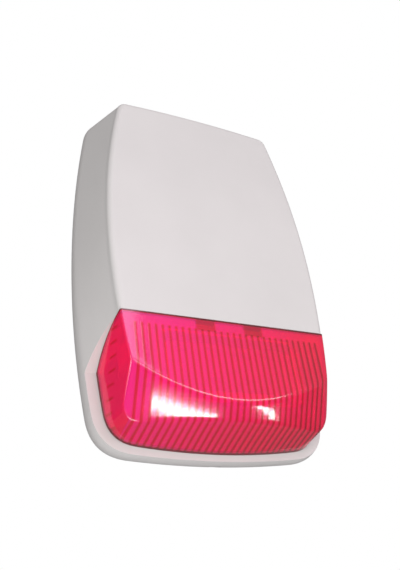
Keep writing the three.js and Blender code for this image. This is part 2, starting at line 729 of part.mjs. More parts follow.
hornEars.forEach(([x, z], i) => {
  place(`horn_screw_${i + 1}`, screwAlongY(x, z, earPlateY - 3, 1.5, 2.9), steel);
});
place('strobe_housing', makeStrobeHousing(), silver);
place('strobe_board', makeStrobeBoard(), white);
for (let i = 0; i < ledCount; i += 1) place(`led_${i + 1}`, makeLed(i), ledYellow);
[-1, 1].forEach((side, i) => {
  place(`strobe_screw_${i + 1}`, screwAlongY(side * strobe.postX, strobe.z, strobeBoardFront, 1.5, 3.8), steel);
});
place('lead_socket', onBoard(socket.x, socket.z, socket.width, socket.height, socket.tall), white);
place('battery_lead_red', makeBatteryLead(1, 0), leadRed);
place('battery_lead_black', makeBatteryLead(-1, 1), black);
place('horn_lead', makeHornLead(), black);
place('strobe_lead', makeStrobeLead(), leadRed);
place('tamper_switch', makeTamperSwitch(), black);
place('tamper_lever', makeTamperLever(), steel);

export default group;
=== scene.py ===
from math import cos, pi, radians, sin, sqrt

import bmesh
import bpy
from mathutils import Matrix, Vector


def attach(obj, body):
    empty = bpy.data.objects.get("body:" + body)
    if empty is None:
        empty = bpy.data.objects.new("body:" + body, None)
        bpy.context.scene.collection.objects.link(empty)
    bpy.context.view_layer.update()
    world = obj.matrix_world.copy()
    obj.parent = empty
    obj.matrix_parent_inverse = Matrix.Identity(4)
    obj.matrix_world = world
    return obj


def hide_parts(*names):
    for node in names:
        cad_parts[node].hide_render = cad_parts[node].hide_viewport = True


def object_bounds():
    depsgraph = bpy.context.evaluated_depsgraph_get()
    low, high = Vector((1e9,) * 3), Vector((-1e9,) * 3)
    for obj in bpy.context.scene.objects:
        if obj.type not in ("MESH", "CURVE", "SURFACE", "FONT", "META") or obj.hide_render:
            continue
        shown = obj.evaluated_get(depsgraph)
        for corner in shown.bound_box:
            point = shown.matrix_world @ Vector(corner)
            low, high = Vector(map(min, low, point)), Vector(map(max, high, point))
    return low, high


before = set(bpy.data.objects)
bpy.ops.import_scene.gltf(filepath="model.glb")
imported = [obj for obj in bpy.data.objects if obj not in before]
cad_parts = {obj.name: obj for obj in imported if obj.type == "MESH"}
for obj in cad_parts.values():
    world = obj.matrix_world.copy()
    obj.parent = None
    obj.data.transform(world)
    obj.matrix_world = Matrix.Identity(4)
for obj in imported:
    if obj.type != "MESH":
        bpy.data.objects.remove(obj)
cad_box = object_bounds()
mm = 0.001

# Studio
# The siren hangs in the air over a pale floor, with a white surround. The key light is high in
# front, a strong soft light stands on the left and a weaker one below, and four small lights in
# front draw the highlights on the lens.
low, high = cad_box
middle = Vector([(a + b) / 2 for a, b in zip(low, high)])
scene = bpy.context.scene
scene.view_settings.view_transform = "Standard"


def turned_camera(azimuth, elevation, roll, distance, aim, lens):
    a, e, r = radians(azimuth), radians(elevation), radians(roll)
    back = Vector((sin(a) * cos(e), -cos(a) * cos(e), sin(e)))
    level = Vector((cos(a), sin(a), 0))
    rise = back.cross(level)
    right = level * cos(r) - rise * sin(r)
    up = level * sin(r) + rise * cos(r)
    data = bpy.data.cameras.new("camera")
    data.lens = lens
    data.sensor_width = 36
    camera = bpy.data.objects.new("camera", data)
    turn = Matrix((right, up, back)).transposed().to_4x4()
    camera.matrix_world = Matrix.Translation(aim + back * distance) @ turn
    scene.collection.objects.link(camera)
    return camera


aim_point = Vector((-6.8 * mm, -36.6 * mm, -13.8 * mm))
camera_distance = 556.9 * mm
camera_lens = 44.90526
scene.camera = turned_camera(-31.4, -30.25, 8.4, camera_distance, aim_point, camera_lens)


def softbox(name, place, size, watts, tint=(1, 1, 1)):
    data = bpy.data.lights.new(name, "AREA")
    data.shape = "RECTANGLE"
    data.size, data.size_y = size
    data.energy = watts
    data.color = tint
    lamp = bpy.data.objects.new(name, data)
    lamp.location = place
    lamp.rotation_euler = (middle - Vector(place)).to_track_quat("-Z", "Y").to_euler()
    scene.collection.objects.link(lamp)


softbox("key_light", (-0.1, -1.3, 0.75), (0.8, 0.6), 1.4)
softbox("glow_light", (0.2, -0.99, 0.42), (0.3, 0.4), 1.2, (1, 0.74, 0.97))
softbox("side_light", (-1.0, -1.15, -0.2), (0.5, 0.8), 8)
softbox("low_light", (-0.3, -0.35, -0.85), (0.5, 0.3), 2.4)
softbox("crease_light", (0.3, -0.9, 0.02), (0.7, 0.1), 1.2)
softbox("strip_light", (0.13, -0.82, -0.57), (0.42, 0.03), 1.1)
softbox("short_strip_light", (0.62, -0.66, -0.456), (0.16, 0.02), 0.3)

# The surround is pure white where it is seen directly. To the siren it gives a softer light,
# which fades behind it, where the wall would be.
world = bpy.data.worlds.new("surround")
world.use_nodes = True
sky = world.node_tree
sky_light = sky.nodes["Background"]
sky_light.inputs["Color"].default_value = (1, 1, 1, 1)
sky_place = sky.nodes.new("ShaderNodeTexCoord")
sky_split = sky.nodes.new("ShaderNodeSeparateXYZ")
sky_fade = sky.nodes.new("ShaderNodeMapRange")
for key, value in {"From Min": -0.3, "From Max": 0.4, "To Min": 0.55, "To Max": 0.14}.items():
    sky_fade.inputs[key].default_value = value
sky.links.new(sky_place.outputs["Generated"], sky_split.inputs["Vector"])
sky.links.new(sky_split.outputs["Y"], sky_fade.inputs["Value"])
sky.links.new(sky_fade.outputs["Result"], sky_light.inputs["Strength"])
sky_seen = sky.nodes.new("ShaderNodeBackground")
sky_seen.inputs["Color"].default_value = (1, 1, 1, 1)
sky_seen.inputs["Strength"].default_value = 1
sky_ray = sky.nodes.new("ShaderNodeLightPath")
sky_mix = sky.nodes.new("ShaderNodeMixShader")
sky.links.new(sky_ray.outputs["Is Camera Ray"], sky_mix.inputs["Fac"])
sky.links.new(sky_light.outputs["Background"], sky_mix.inputs[1])
sky.links.new(sky_seen.outputs["Background"], sky_mix.inputs[2])
sky.links.new(sky_mix.outputs["Shader"], sky.nodes["World Output"].inputs["Surface"])
scene.world = world

floor_height = -0.9
floor_bm = bmesh.new()
bmesh.ops.create_grid(floor_bm, x_segments=1, y_segments=1, size=4)
bmesh.ops.translate(floor_bm, verts=floor_bm.verts, vec=(0, 0, floor_height))
floor_mesh = bpy.data.meshes.new("floor")
floor_bm.to_mesh(floor_mesh)
floor = bpy.data.objects.new("floor", floor_mesh)
scene.collection.objects.link(floor)
floor_paint = bpy.data.materials.new("floor_paint")
floor_paint.use_nodes = True
floor_surface = floor_paint.node_tree.nodes["Principled BSDF"]
floor_surface.inputs["Base Color"].default_value = (0.8, 0.8, 0.8, 1)
floor_mesh.materials.append(floor_paint)


# Cover
# One white ABS moulding with a satin face. It hooks over two pins at the top of the base, one
# screw holds its bottom edge, and its lower front is left open for the lens.
class Wire:
    """One value in a material, so that shader sums are written as Python sums."""

    def __init__(self, finish, socket):
        self.finish = finish
        self.socket = socket

    def sum(self, operation, first, second):
        return self.finish.node("ShaderNodeMath", "Value", {"operation": operation}, first, second)

    def __add__(self, other):
        return self.sum("ADD", self, other)

    def __sub__(self, other):
        return self.sum("SUBTRACT", self, other)

    def __rsub__(self, other):
        return self.sum("SUBTRACT", other, self)

    def __mul__(self, other):
        return self.sum("MULTIPLY", self, other)

    def __gt__(self, other):
        return self.sum("GREATER_THAN", self, other)

    def size(self):
        return self.finish.node("ShaderNodeMath", "Value", {"operation": "ABSOLUTE"}, self)

    def zigzag(self, reach):
        return self.sum("PINGPONG", self, reach)

    __radd__ = __add__
    __rmul__ = __mul__


class Finish:
    """A material made from nodes; `fixed` holds the uniform values of its surface."""

    def __init__(self, name, **fixed):
        self.material = bpy.data.materials.new(name)
        self.material.use_nodes = True
        self.tree = self.material.node_tree
        self.surface = self.tree.nodes["Principled BSDF"]
        for key, value in fixed.items():
            self.surface.inputs[key.replace("_", " ")].default_value = value
        self.place = self.node("ShaderNodeTexCoord", "Object", {})

    def node(self, kind, output, settings, *values, **named):
        made = self.tree.nodes.new(kind)
        for key, value in settings.items():
            if key == "stops":
                self.set_stops(made.color_ramp, value)
            else:
                setattr(made, key, value)
        for key, value in [*enumerate(values), *named.items()]:
            socket = made.inputs[key if isinstance(key, int) else key.replace("_", " ")]
            if isinstance(value, Wire):
                self.tree.links.new(value.socket, socket)
            else:
                socket.default_value = value
        return Wire(self, made.outputs[output])

    def set_stops(self, ramp, stops):
        while len(ramp.elements) < len(stops):
            ramp.elements.new(0.5)
        for element, (position, value) in zip(ramp.elements, stops):
            element.position = position
            element.color = value if isinstance(value, tuple) else (value, value, value, 1)

    def noise(self, scale, detail=2.0, rough=0.5):
        return self.node("ShaderNodeTexNoise", "Fac", {}, Vector=self.place, Scale=scale,
                         Detail=detail, Roughness=rough)

    def axis(self, letter):
        return self.node("ShaderNodeSeparateXYZ", letter, {}, self.place)

    def fade(self, value, start, end, first=0.0, last=1.0, kind="LINEAR"):
        """Goes from `first` to `last` while `value` goes from `start` to `end`."""
        return self.node("ShaderNodeMapRange", "Result", {"interpolation_type": kind}, value,
                         From_Min=start, From_Max=end, To_Min=first, To_Max=last)

    def ramp(self, factor, *stops):
        return self.node("ShaderNodeValToRGB", "Color", {"stops": stops}, Fac=factor)

    def set(self, **wires):
        for key, wire in wires.items():
            self.tree.links.new(wire.socket, self.surface.inputs[key.replace("_", " ")])
        return self

    def bump(self, height, strength, depth):
        bump = self.node("ShaderNodeBump", "Normal", {}, Height=height, Strength=strength,
                         Distance=depth)
        return self.set(Normal=bump)


def moulded(name, dark, light, roughness, grain=0.25, **fixed):
    """A moulded plastic: slow shifts of tone and of gloss, and a fine spark-eroded grain."""
    finish = Finish(name, **fixed)
    tone = finish.noise(14, 3)
    finish.set(Base_Color=finish.ramp(tone, (0.3, (*dark, 1)), (0.7, (*light, 1))))
    finish.set(Roughness=finish.noise(60, 4) * 0.12 + (roughness - 0.06))
    return finish.bump(finish.noise(2600, 2), grain, 0.00006)


white_abs = moulded("white_abs", (0.6, 0.578, 0.57), (0.628, 0.605, 0.597), 0.42, IOR=1.5)


front_y = -58
ledge_y = -18
lens_top = -56.8
wall = 3
hinge_y, hinge_z = -13, 141
hinge_places = (-45, 45)


def bowed(z, wide_z, wide, top, top_z, low, low_z):
    """Half the width at height z: `wide` at wide_z, falling along parabolas to its ends."""
    if z > wide_z:
        return wide - (wide - top) * ((z - wide_z) / (top_z - wide_z)) ** 2
    return wide - (wide - low) * ((z - wide_z) / (low_z - wide_z)) ** 2


def rim_side(z):
    return bowed(z, -30, 101.98, 83.6, 150, 92, -150)


def face_side(z):
    return bowed(max(z, -94.1), 5, 89.2, 70.3, 145.4, 81.1, -94.1)


def foot_side(z):
    return rim_side(z) - 9.5


# Each outline: its side, top, bottom, the drop of its crowned top to the corners, the rise of
# its arched bottom, and its corner radii.
rim = (rim_side, 150, -150, 0, 6, 12, 26)
face = (face_side, 145.4, -129.3, 2.4, 3, 6, 6)
foot = (foot_side, 140.5, -144.1, 0, 6.6, 10, 19)
cover_steps = (16, 12, 60, 16, 20)


def bend(a, b, c, steps):
    for i in range(steps):
        t = i / steps
        yield tuple((1 - t) ** 2 * p + 2 * t * (1 - t) * q + t * t * r for p, q, r in zip(a, b, c))


def outline(shape, inset, y, steps=cover_steps):
    """A closed ring of points in millimetres: straight top, bowed sides, arched bottom."""
    edge, top, bottom, crown, sag, top_radius, bottom_radius = shape
    top, bottom = top - inset, bottom + inset
    top_radius, bottom_radius = max(top_radius - inset, 2), max(bottom_radius - inset, 2)

    def side(z):
        return edge(z) - inset

    def arch(x):
        return bottom + sag * (x / side(bottom)) ** 2

    def crest(x):
        return top - crown * (x / side(top)) ** 2

    top_count, top_bend, side_count, low_bend, low_count = steps
    top_x, side_top = side(top) - top_radius, top - crown - top_radius
    half = [(top_x * i / top_count, crest(top_x * i / top_count)) for i in range(top_count)]
    half += bend((top_x, crest(top_x)), (side(top), crest(side(top))),
                 (side(side_top), side_top), top_bend)
    corner_x = side(arch(side(bottom)))
    corner_z = arch(corner_x)
    side_low, low_x = corner_z + bottom_radius, corner_x - bottom_radius
    for i in range(side_count):
        z = side_top + (side_low - side_top) * i / side_count
        half.append((side(z), z))
    half += bend((side(side_low), side_low), (corner_x, corner_z), (low_x, arch(low_x)), low_bend)
    half += [(low_x * (1 - i / low_count), arch(low_x * (1 - i / low_count)))
             for i in range(low_count + 1)]
    points = half + [(-x, z) for x, z in reversed(half[1:-1])]
    return [Vector((x, y, z)) for x, z in points]


def between(first, last, steps):
    """The rings after `first`, up to and with `last`, on straight lines between them."""
    return [[a.lerp(b, i / steps) for a, b in zip(first, last)] for i in range(1, steps + 1)]


def add_loop(bm, ring):
    verts = [bm.verts.new(point * mm) for point in ring]
    return [bm.edges.new(pair) for pair in zip(verts, verts[1:] + verts[:1])]


def add_rings(bm, rings):
    loops = [add_loop(bm, ring) for ring in rings]
    for first, second in zip(loops, loops[1:]):
        bmesh.ops.bridge_loops(bm, edges=first + second)
    return loops


def to_object(name, bm, finish=None, sharp=35):
    bmesh.ops.recalc_face_normals(bm, faces=bm.faces)
    mesh = bpy.data.meshes.new(name)
    bm.to_mesh(mesh)
    bm.free()
    piece = bpy.data.objects.new(name, mesh)
    scene.collection.objects.link(piece)
    if finish:
        dress(piece, finish, sharp)
    return piece


def dress(piece, finish, sharp=35):
    mesh = piece.data
    mesh.materials.clear()
    mesh.materials.append(finish.material)
    mesh.shade_smooth()
    mesh.set_sharp_from_angle(angle=radians(sharp))


def lofted(name, rings):
    bm = bmesh.new()
    loops = add_rings(bm, rings)
    for loop in (loops[0], loops[-1]):
        bmesh.ops.edgeloop_fill(bm, edges=loop)
    return to_object(name, bm)


def carve(piece, tool, operation="DIFFERENCE"):
    change = piece.modifiers.new("carve", "BOOLEAN")
    change.operation = operation
    change.solver = "MANIFOLD"
    change.object = tool
    bpy.context.view_layer.update()
    old = piece.data
    shaped = piece.evaluated_get(bpy.context.evaluated_depsgraph_get())
    mesh = bpy.data.meshes.new_from_object(shaped)
    piece.modifiers.clear()
    piece.data = mesh
    mesh.name = old.name
    bpy.data.meshes.remove(old)
    bpy.data.meshes.remove(tool.data)
    return piece


def profile_bar(name, points, x0, x1):
    """A bar along X whose side view is a list of (y, z) points, all in millimetres."""
    bm = bmesh.new()
    verts = [bm.verts.new(Vector((x0, y, z)) * mm) for y, z in points]
    made = bmesh.ops.extrude_face_region(bm, geom=[bm.faces.new(verts)])
    moved = [part for part in made["geom"] if isinstance(part, bmesh.types.BMVert)]
    bmesh.ops.translate(bm, verts=moved, vec=((x1 - x0) * mm, 0, 0))
    return to_object(name, bm)


def lens_space(grow):
    """The space that the lens takes, grown all round; its upper edge sweeps back and down."""
    head, foot_y = lens_top + grow, ledge_y + grow
    start, heel = (front_y, head), (foot_y, -88.4 + grow)
    pull = ((start[0] + heel[0]) / 2 + 5, (start[1] + heel[1]) / 2 + 6.2)
    side = [*bend(start, pull, heel, 28), heel]
    return profile_bar("lens_space", [(-78, head), *side, (foot_y, -170), (-78, -170)], -112, 112)


def cylinder(name, radius, a, b, sides=32):
    """A plain bar from point a to point b, in millimetres; used to cut holes and add posts."""
    a, b = Vector(a), Vector(b)
    bm = bmesh.new()
    turn = (b - a).to_track_quat("Z", "Y").to_matrix().to_4x4()
    bmesh.ops.create_cone(
        bm, cap_ends=True, segments=sides, radius1=radius * mm, radius2=radius * mm,
        depth=(b - a).length * mm, matrix=Matrix.Translation((a + b) / 2 * mm) @ turn,
    )
    return to_object(name, bm)


def fillet(shape, inset, radius, front, steps):
    """Rings of a quarter round, from the flat front to the side wall."""
    turns = [pi / 2 * i / steps for i in range(steps + 1)]
    return [outline(shape, inset + radius * (1 - sin(t)), front + radius * (1 - cos(t)))
            for t in turns]


def rolled_rim(y):
    """How far the rim's edge rolls in at depth y."""
    return 3 * ((y + 11) / 9.5) ** 2 if y > -11 else 1.2 * ((y + 11) / 7) ** 2


def make_cover():
    outside = [outline(face, 5, front_y), *fillet(face, 0, 4.5, front_y, 9)]
    outside += between(outside[-1], outline(rim, 1.2, ledge_y), 14)
    for y in (-16.5, -15, -13, -11, -9, -7.5, -6, -4.8, -3.8, -3, -2.2, -1.5):
        outside.append(outline(rim, rolled_rim(y), y))
    inside_y = front_y + wall
    inside = [outline(face, wall + 4.5, inside_y), *fillet(face, wall, 4, inside_y, 5)]
    inside += between(inside[-1], outline(rim, 6, -15), 6)
    inside.append(outline(rim, 6, 1))
    hollow = carve(lofted("hollow", inside), lens_space(wall))
    cover = carve(lofted("cover_moulding", outside), hollow)
    carve(cover, lens_space(0))
    window = [outline(face, 6, -54.95), outline(face, 4, -50), outline(foot, 5, ledge_y),
              outline(foot, 5, 2)]
    carve(cover, carve(lofted("window", window), lens_space(wall + 0.05), "INTERSECT"))
    for x in hinge_places:
        knuckle = cylinder("knuckle", 2.7, (x - 4.7, hinge_y, hinge_z), (x + 4.7, hinge_y, hinge_z))
        carve(cover, knuckle, "UNION")
        neck = [(-15.7, 141), (-12, 141), (-12, 145.6), (-15.7, 145.6)]
        carve(cover, profile_bar("neck", neck, x - 4.7, x + 4.7), "UNION")
        carve(cover, cylinder("eye", 1.5, (x - 6, hinge_y, hinge_z), (x + 6, hinge_y, hinge_z)))
    carve(cover, cylinder("tamper_post", 4, (64, -56, 52), (64, -21.9, 52)), "UNION")
    carve(cover, cylinder("screw_recess", 4.3, (0, -8, -152), (0, -8, -146.2), 48))
    return carve(cover, cylinder("screw_hole", 2.4, (0, -8, -152), (0, -8, -138)))


cover = make_cover()
dress(cover, white_abs, 32)
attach(cover, "cover")
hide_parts("cover_shell")

# Lens
# One moulding of clear red polycarbonate, held in the cover by two latches at its top. Its
# front breaks along a curved crease and falls back, and inside it is fluted to spread light.
flute_pitch, flute_depth = 5.2, 1.1
crease_low, crease_rise, crease_reach = -119.2, 25.1, 81.1
lens_steps = (96, 4, 50, 12, 92)
lens_face = (face_side, -45, -129.3, 0, 3, 2, 6)
lens_foot = (foot_side, -45, -144.1, 0, 6.6, 2, 19)
grid_columns = 2 * (96 + 2)
grid_rows = 2 + 50 + 6


def lens_front(x, z, back):
    """How far forward the lens reaches: a flat front, and below the crease a falling one."""
    crease = crease_low + crease_rise * (x / crease_reach) ** 2
    flat, falling = front_y + back, front_y + 1.12 * back + 0.5 * (crease - z)
    return (flat + falling + sqrt((flat - falling) ** 2 + 0.5)) / 2


def brow(start, end, back):
    """Where a straight line on the side wall meets the front."""
    near, far = 0.0, 1.0
    for _ in range(30):
        half = (near + far) / 2
        point = start.lerp(end, half)
        if point.y > lens_front(point.x, point.z, back):
            near = half
        else:
            far = half
    return start.lerp(end, near)


def inward(ring, amount):
    """A ring moved in across its own edge, seen from the front."""
    moved = []
    for i, point in enumerate(ring):
        along = ring[(i + 1) % len(ring)] - ring[i - 1]
        side = Vector((along.z, 0, -along.x)).normalized()
        moved.append(point + side * amount)
    return moved


def flute_height(x):
    """The height of one flute after another along x."""
    wave = abs(((x / flute_pitch) % 1) * 2 - 1)
    return flute_depth * max(0, wave * 1.6 - 0.6) ** 0.8


def flute(x, z):
    """Height of the upright flutes inside the front, faded out at their ends."""
    fade = min(max((-65.5 - z) / 1.5, 0), 1) * min(max((z + 126) / 1.5, 0), 1)
    return flute_height(x) * fade * min(max((face_side(z) - 12 - abs(x)) / 3, 0), 1)


def low_flute(point):
    """The same flutes carried on along the underside."""
    fade = min(max((84 - abs(point.x)) / 4, 0), 1) * min(max((-122 - point.z) / 3, 0), 1)
    fade *= min(max((-20 - point.y) / 2, 0), 1)
    return Vector((0, 0, fade * flute_height(point.x)))


def lens_skin(bm, inset, back, wall_rings, radius, fluted):
    """One side of the moulding: rings up its walls and round its edge, and a grid in front."""
    start = outline(lens_foot, inset, ledge_y - 0.3, lens_steps)
    end = outline(lens_face, inset + 0.6, front_y + back - 1, lens_steps)
    edge = [brow(a, b, back) for a, b in zip(start, end)]
    low_edge = [e + (s - e).normalized() * radius for s, e in zip(start, edge)]
    front_edge = inward(edge, radius)
    for point in front_edge:
        point.y = lens_front(point.x, point.z, back)
    rings = [start, *between(start, low_edge, wall_rings)]
    for i in range(1, 6):
        t = i / 6
        rings.append([(1 - t) ** 2 * a + 2 * t * (1 - t) * b + t * t * c
                      for a, b, c in zip(low_edge, edge, front_edge)])
    rings.append(front_edge)
    if fluted:
        rings = [[point + low_flute(point) for point in ring] for ring in rings]
        front_edge = rings[-1]
    add_rings(bm, rings)
    # The front is a grid stretched to the last ring, whose points match the grid's edge.
    count = len(front_edge)
    half = grid_columns // 2

    def rim_point(index):
        return front_edge[index % count]

    made = bmesh.ops.create_grid(bm, x_segments=grid_columns, y_segments=grid_rows, size=1)
    for vert in made["verts"]:
        column = round((vert.co.x + 1) / 2 * grid_columns)
        row = round((1 - vert.co.y) / 2 * grid_rows)
        u, v = column / grid_columns, row / grid_rows
        top, bottom = rim_point(column - half), rim_point(half + grid_rows + grid_columns - column)
        left, right = rim_point(-half - row), rim_point(half + row)
        corners = (rim_point(-half), rim_point(half), rim_point(half + grid_rows + grid_columns),
                   rim_point(half + grid_rows))
        point = (1 - v) * top + v * bottom + (1 - u) * left + u * right
        point -= (1 - u) * (1 - v) * corners[0] + u * (1 - v) * corners[1]
        point -= (1 - u) * v * corners[2] + u * v * corners[3]
        point.y = lens_front(point.x, point.z, back)
        if fluted:
            point.y += flute(point.x, point.z)
        if row in (0, grid_rows):
            point = bottom if row else top
        elif column in (0, grid_columns):
            point = right if column else left
        vert.co = point * mm
    bmesh.ops.remove_doubles(bm, verts=bm.verts, dist=0.00002)


# The lens glows faintly in its own tint (Emission Strength 0.2): painted light for light scattered
# inside the plastic, though the lens is no lamp.
lens_plastic = Finish(
    "red_lens", IOR=1.58, Transmission_Weight=0.68, Coat_Weight=0.22, Coat_Roughness=0.25,
    Emission_Strength=0.2,
)
lens_x, lens_z = lens_plastic.axis("X"), lens_plastic.axis("Z")
from_front = lens_plastic.axis("Y") - front_y * mm
off_middle = lens_x.size()
# The colour deepens over each flute, where the plastic is thickest, and on the sides.
thick = lens_plastic.fade(lens_x.zigzag(flute_pitch * mm / 2), 0.0011, 0.0022, kind="SMOOTHSTEP")
inside_sides = lens_plastic.fade(off_middle, 0.077, 0.079, 1.0, 0.0)
below_top = lens_plastic.fade(lens_z, -0.0665, -0.0655, 1.0, 0.0)
flutes = thick * inside_sides * below_top
facing = lens_plastic.node("ShaderNodeNewGeometry", "Normal", {})
on_side = lens_plastic.node("ShaderNodeSeparateXYZ", "X", {}, facing).size() > 0.55
depth_of_red = flutes * 0.5 + on_side * 0.22
# Along its cut edge and its foot the plastic is seen edgewise and looks almost brown; the edge line
# is partly painted gap shadow.
edge_line = -0.0571 - 0.2747 * from_front - 13.13 * from_front * from_front
edge_and_gap_shadow = lens_plastic.fade(edge_line - lens_z, 0.0009, 0.0018, 1.0, 0.0)
near_foot = lens_plastic.fade(from_front, 0.0372, 0.0384)
# Painted shade deepens the red slowly towards the right-hand end and underneath; clouds deepen it a
# little.
painted_shade_right = lens_plastic.fade(lens_x, -0.05, 0.08, last=0.3)
painted_shade_below = lens_plastic.fade(lens_z, -0.122, -0.138, last=0.12)
cloud = lens_plastic.noise(9, 2) * 0.06
# The latches and the short ribs inside the sides are solid, and show through as darker red.
latch_width = lens_plastic.fade((off_middle - 0.02).size(), 0.007, 0.0085, 1.0, 0.0)
latch_height = lens_plastic.fade(lens_z, -0.0675, -0.066)
rib_height = lens_plastic.fade((lens_z + 0.076).zigzag(0.0045), 0.0004, 0.0012, 1.0, 0.0)
off_rib = (from_front + 0.016 + 0.4 * lens_z).size()
rib_length = lens_plastic.fade(off_rib, 0.0035, 0.0045, 1.0, 0.0)
inner_parts = latch_width * latch_height * 0.35 + on_side * rib_height * rib_length * 0.35
# The lens colour, with the painted shade and the painted edge shadow summed into it.
tint_and_painted_shade = lens_plastic.ramp(
    depth_of_red + cloud + painted_shade_right + painted_shade_below + inner_parts + edge_and_gap_shadow + near_foot,
    (0.0, (1.0, 0.012, 0.3, 1)), (0.3, (0.95, 0.003, 0.09, 1)),
    (0.7, (0.55, 0.001, 0.025, 1)), (1.0, (0.12, 0.003, 0.015, 1)),
)
# The tint feeds both the base colour and the painted glow.
lens_plastic.set(Base_Color=tint_and_painted_shade, Emission_Color=tint_and_painted_shade,
                 Roughness=lens_plastic.noise(40, 2) * 0.04 + 0.06)
lens_plastic.bump(flutes, 0.05, 0.0002)


def make_lens():
    bm = bmesh.new()
    lens_skin(bm, 0, 0, 30, 1.6, False)
    inner = bmesh.new()
    lens_skin(inner, 2.5, 2.5, 12, 1, True)
    inner_mesh = bpy.data.meshes.new("inner")
    inner.to_mesh(inner_mesh)
    inner.free()
    bm.from_mesh(inner_mesh)
    bpy.data.meshes.remove(inner_mesh)
    bmesh.ops.bridge_loops(bm, edges=[edge for edge in bm.edges if edge.is_boundary])
    lens = carve(to_object("lens_moulding", bm), lens_space(-0.3), "INTERSECT")
    for x in (-20, 20):
        tongue = [(-54.7, -64.8), (-52.3, -64.8), (-52.3, -48.8), (-53.6, -48.8), (-54.7, -50.5)]
        root = [(-56.4, -68), (-52.3, -68), (-52.3, -57.3), (-56.4, -57.3)]
        carve(lens, profile_bar("latch_root", root, x - 8, x + 8), "UNION")
        carve(lens, profile_bar("latch", tongue, x - 7, x + 7), "UNION")
    for y, z in ((-43, -76), (-39, -85), (-35, -94), (-32.6, -103), (-28, -113)):
        side = face_side(z) + (foot_side(z) - face_side(z)) * (y + 53) / 35 - 2.2
        for x in (-side, side):
            bar = [(y - 4, z - 0.7), (y + 4, z - 0.7), (y + 4, z + 0.7), (y - 4, z + 0.7)]
            carve(lens, profile_bar("side_rib", bar, x - 1.6, x + 1.6), "UNION")
    for x in (-76.4, 76.4):
        carve(lens, cylinder("pip", 2.6, (x, -56, -69.1), (x, -54.2, -69.1), 40), "UNION")
    return lens


lens = make_lens()
dress(lens, lens_plastic, 40)
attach(lens, "cover")
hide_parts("lens")

# Cover screw and its cap
# A zinc-plated steel screw goes up through the bottom of the cover. A white cap, pressed in
# flush with the moulding, hides its head.
steel = Finish("steel", Metallic=1.0)
brushed = steel.node("ShaderNodeMapping", "Vector", {}, steel.place, Scale=(1, 1, 14))
brush_lines = steel.node("ShaderNodeTexNoise", "Fac", {}, Vector=brushed, Scale=220, Detail=3)
steel.set(
    Base_Color=steel.ramp(steel.noise(90, 3), (0.3, (0.52, 0.53, 0.55, 1)),
                          (0.7, (0.68, 0.68, 0.66, 1))),
    Roughness=brush_lines * 0.2 + 0.22,
)
steel.bump(brush_lines, 0.2, 0.00005)


def turned(name, profile, start, along, finish, sides=32, sharp=35):
    """A lathe-turned piece: its profile is (radius, height) in mm, along a line from `start`."""
    bm = bmesh.new()
    verts = [bm.verts.new((radius * mm, 0, height * mm)) for radius, height in profile]
    edges = [bm.edges.new(pair) for pair in zip(verts, verts[1:])]
    bmesh.ops.spin(bm, geom=verts + edges, axis=(0, 0, 1), cent=(0, 0, 0), angle=2 * pi,
                   steps=sides, use_merge=True)
    bmesh.ops.remove_doubles(bm, verts=bm.verts, dist=0.000005)
    turn = Vector(along).to_track_quat("Z", "Y").to_matrix().to_4x4()
    bmesh.ops.transform(bm, verts=bm.verts, matrix=Matrix.Translation(Vector(start) * mm) @ turn)
    return to_object(name, bm, finish, sharp)


def block(name, corner, opposite, finish=None, bevel=0.4, segments=3):
    """A moulded block with rounded edges between two opposite corners, in mm."""
    a, b = Vector(corner) * mm, Vector(opposite) * mm
    bm = bmesh.new()
    bmesh.ops.create_cube(bm, size=1)
    size = Matrix.Diagonal((*[abs(v) for v in b - a], 1))
    bmesh.ops.transform(bm, verts=bm.verts, matrix=Matrix.Translation((a + b) / 2) @ size)
    if bevel:
        bmesh.ops.bevel(bm, geom=bm.edges[:], offset=bevel * mm, offset_type="OFFSET",
                        segments=segments, profile=0.5, affect="EDGES", material=-1)
    return to_object(name, bm, finish)


def fit(piece, body, slot, *nodes):
    """Names the body a piece rides on and the nodes it stands for; its `slot` is not used."""
    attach(piece, body)
    if nodes:
        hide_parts(*nodes)
    return piece


def screw(name, x, z, head_y, radius, length):
    """A pan-head screw along Y with a cross recess; `head_y` is under its head."""
    r = radius * 2
    profile = [(0, length), (radius * 0.5, length), (radius, length - 0.8), (radius, 0.05),
               (r, 0.05), (r, -radius * 0.45), (r * 0.86, -radius * 0.85),
               (r * 0.5, -radius * 1.08), (0, -radius * 1.1)]
    piece = turned(name, profile, (x, head_y, z), (0, 1, 0), None, 28)
    for w, h in ((r * 0.6, 0.28), (0.28, r * 0.6)):
        slot = block("slot", (x - w, head_y - radius * 1.4, z - h),
                     (x + w, head_y - radius * 0.5, z + h), None, 0)
        carve(piece, slot)
    dress(piece, steel)
    return piece


cover_screw = turned(
    "cover_screw_turned",
    [(0, 0), (3.3, 0), (3.7, 0.4), (3.7, 1.8), (2, 1.8), (2, 10.8), (1.2, 12.2), (0, 12.2)],
    (0, -8, -148.2), (0, 0, 1), None, 40)
for half_width, half_depth in ((2.3, 0.45), (0.45, 2.3)):
    carve(cover_screw, block("cross", (-half_width, -8 - half_depth, -149),
                             (half_width, -8 + half_depth, -147.3), None, 0))
dress(cover_screw, steel)
fit(cover_screw, "cover_screw", "steel", "cover_screw")

cap_rings = [outline(rim, rolled_rim(y) + 0.15, y) for y in (-13, -11, -9, -7, -5, -3)]
screw_cap = carve(cylinder("screw_cap_disc", 4, (0, -8, -151), (0, -8, -148.5), 48),
                  lofted("cap_limit", cap_rings), "INTERSECT")
dress(screw_cap, white_abs)
fit(screw_cap, "screw_cap", "white_abs", "screw_cap")

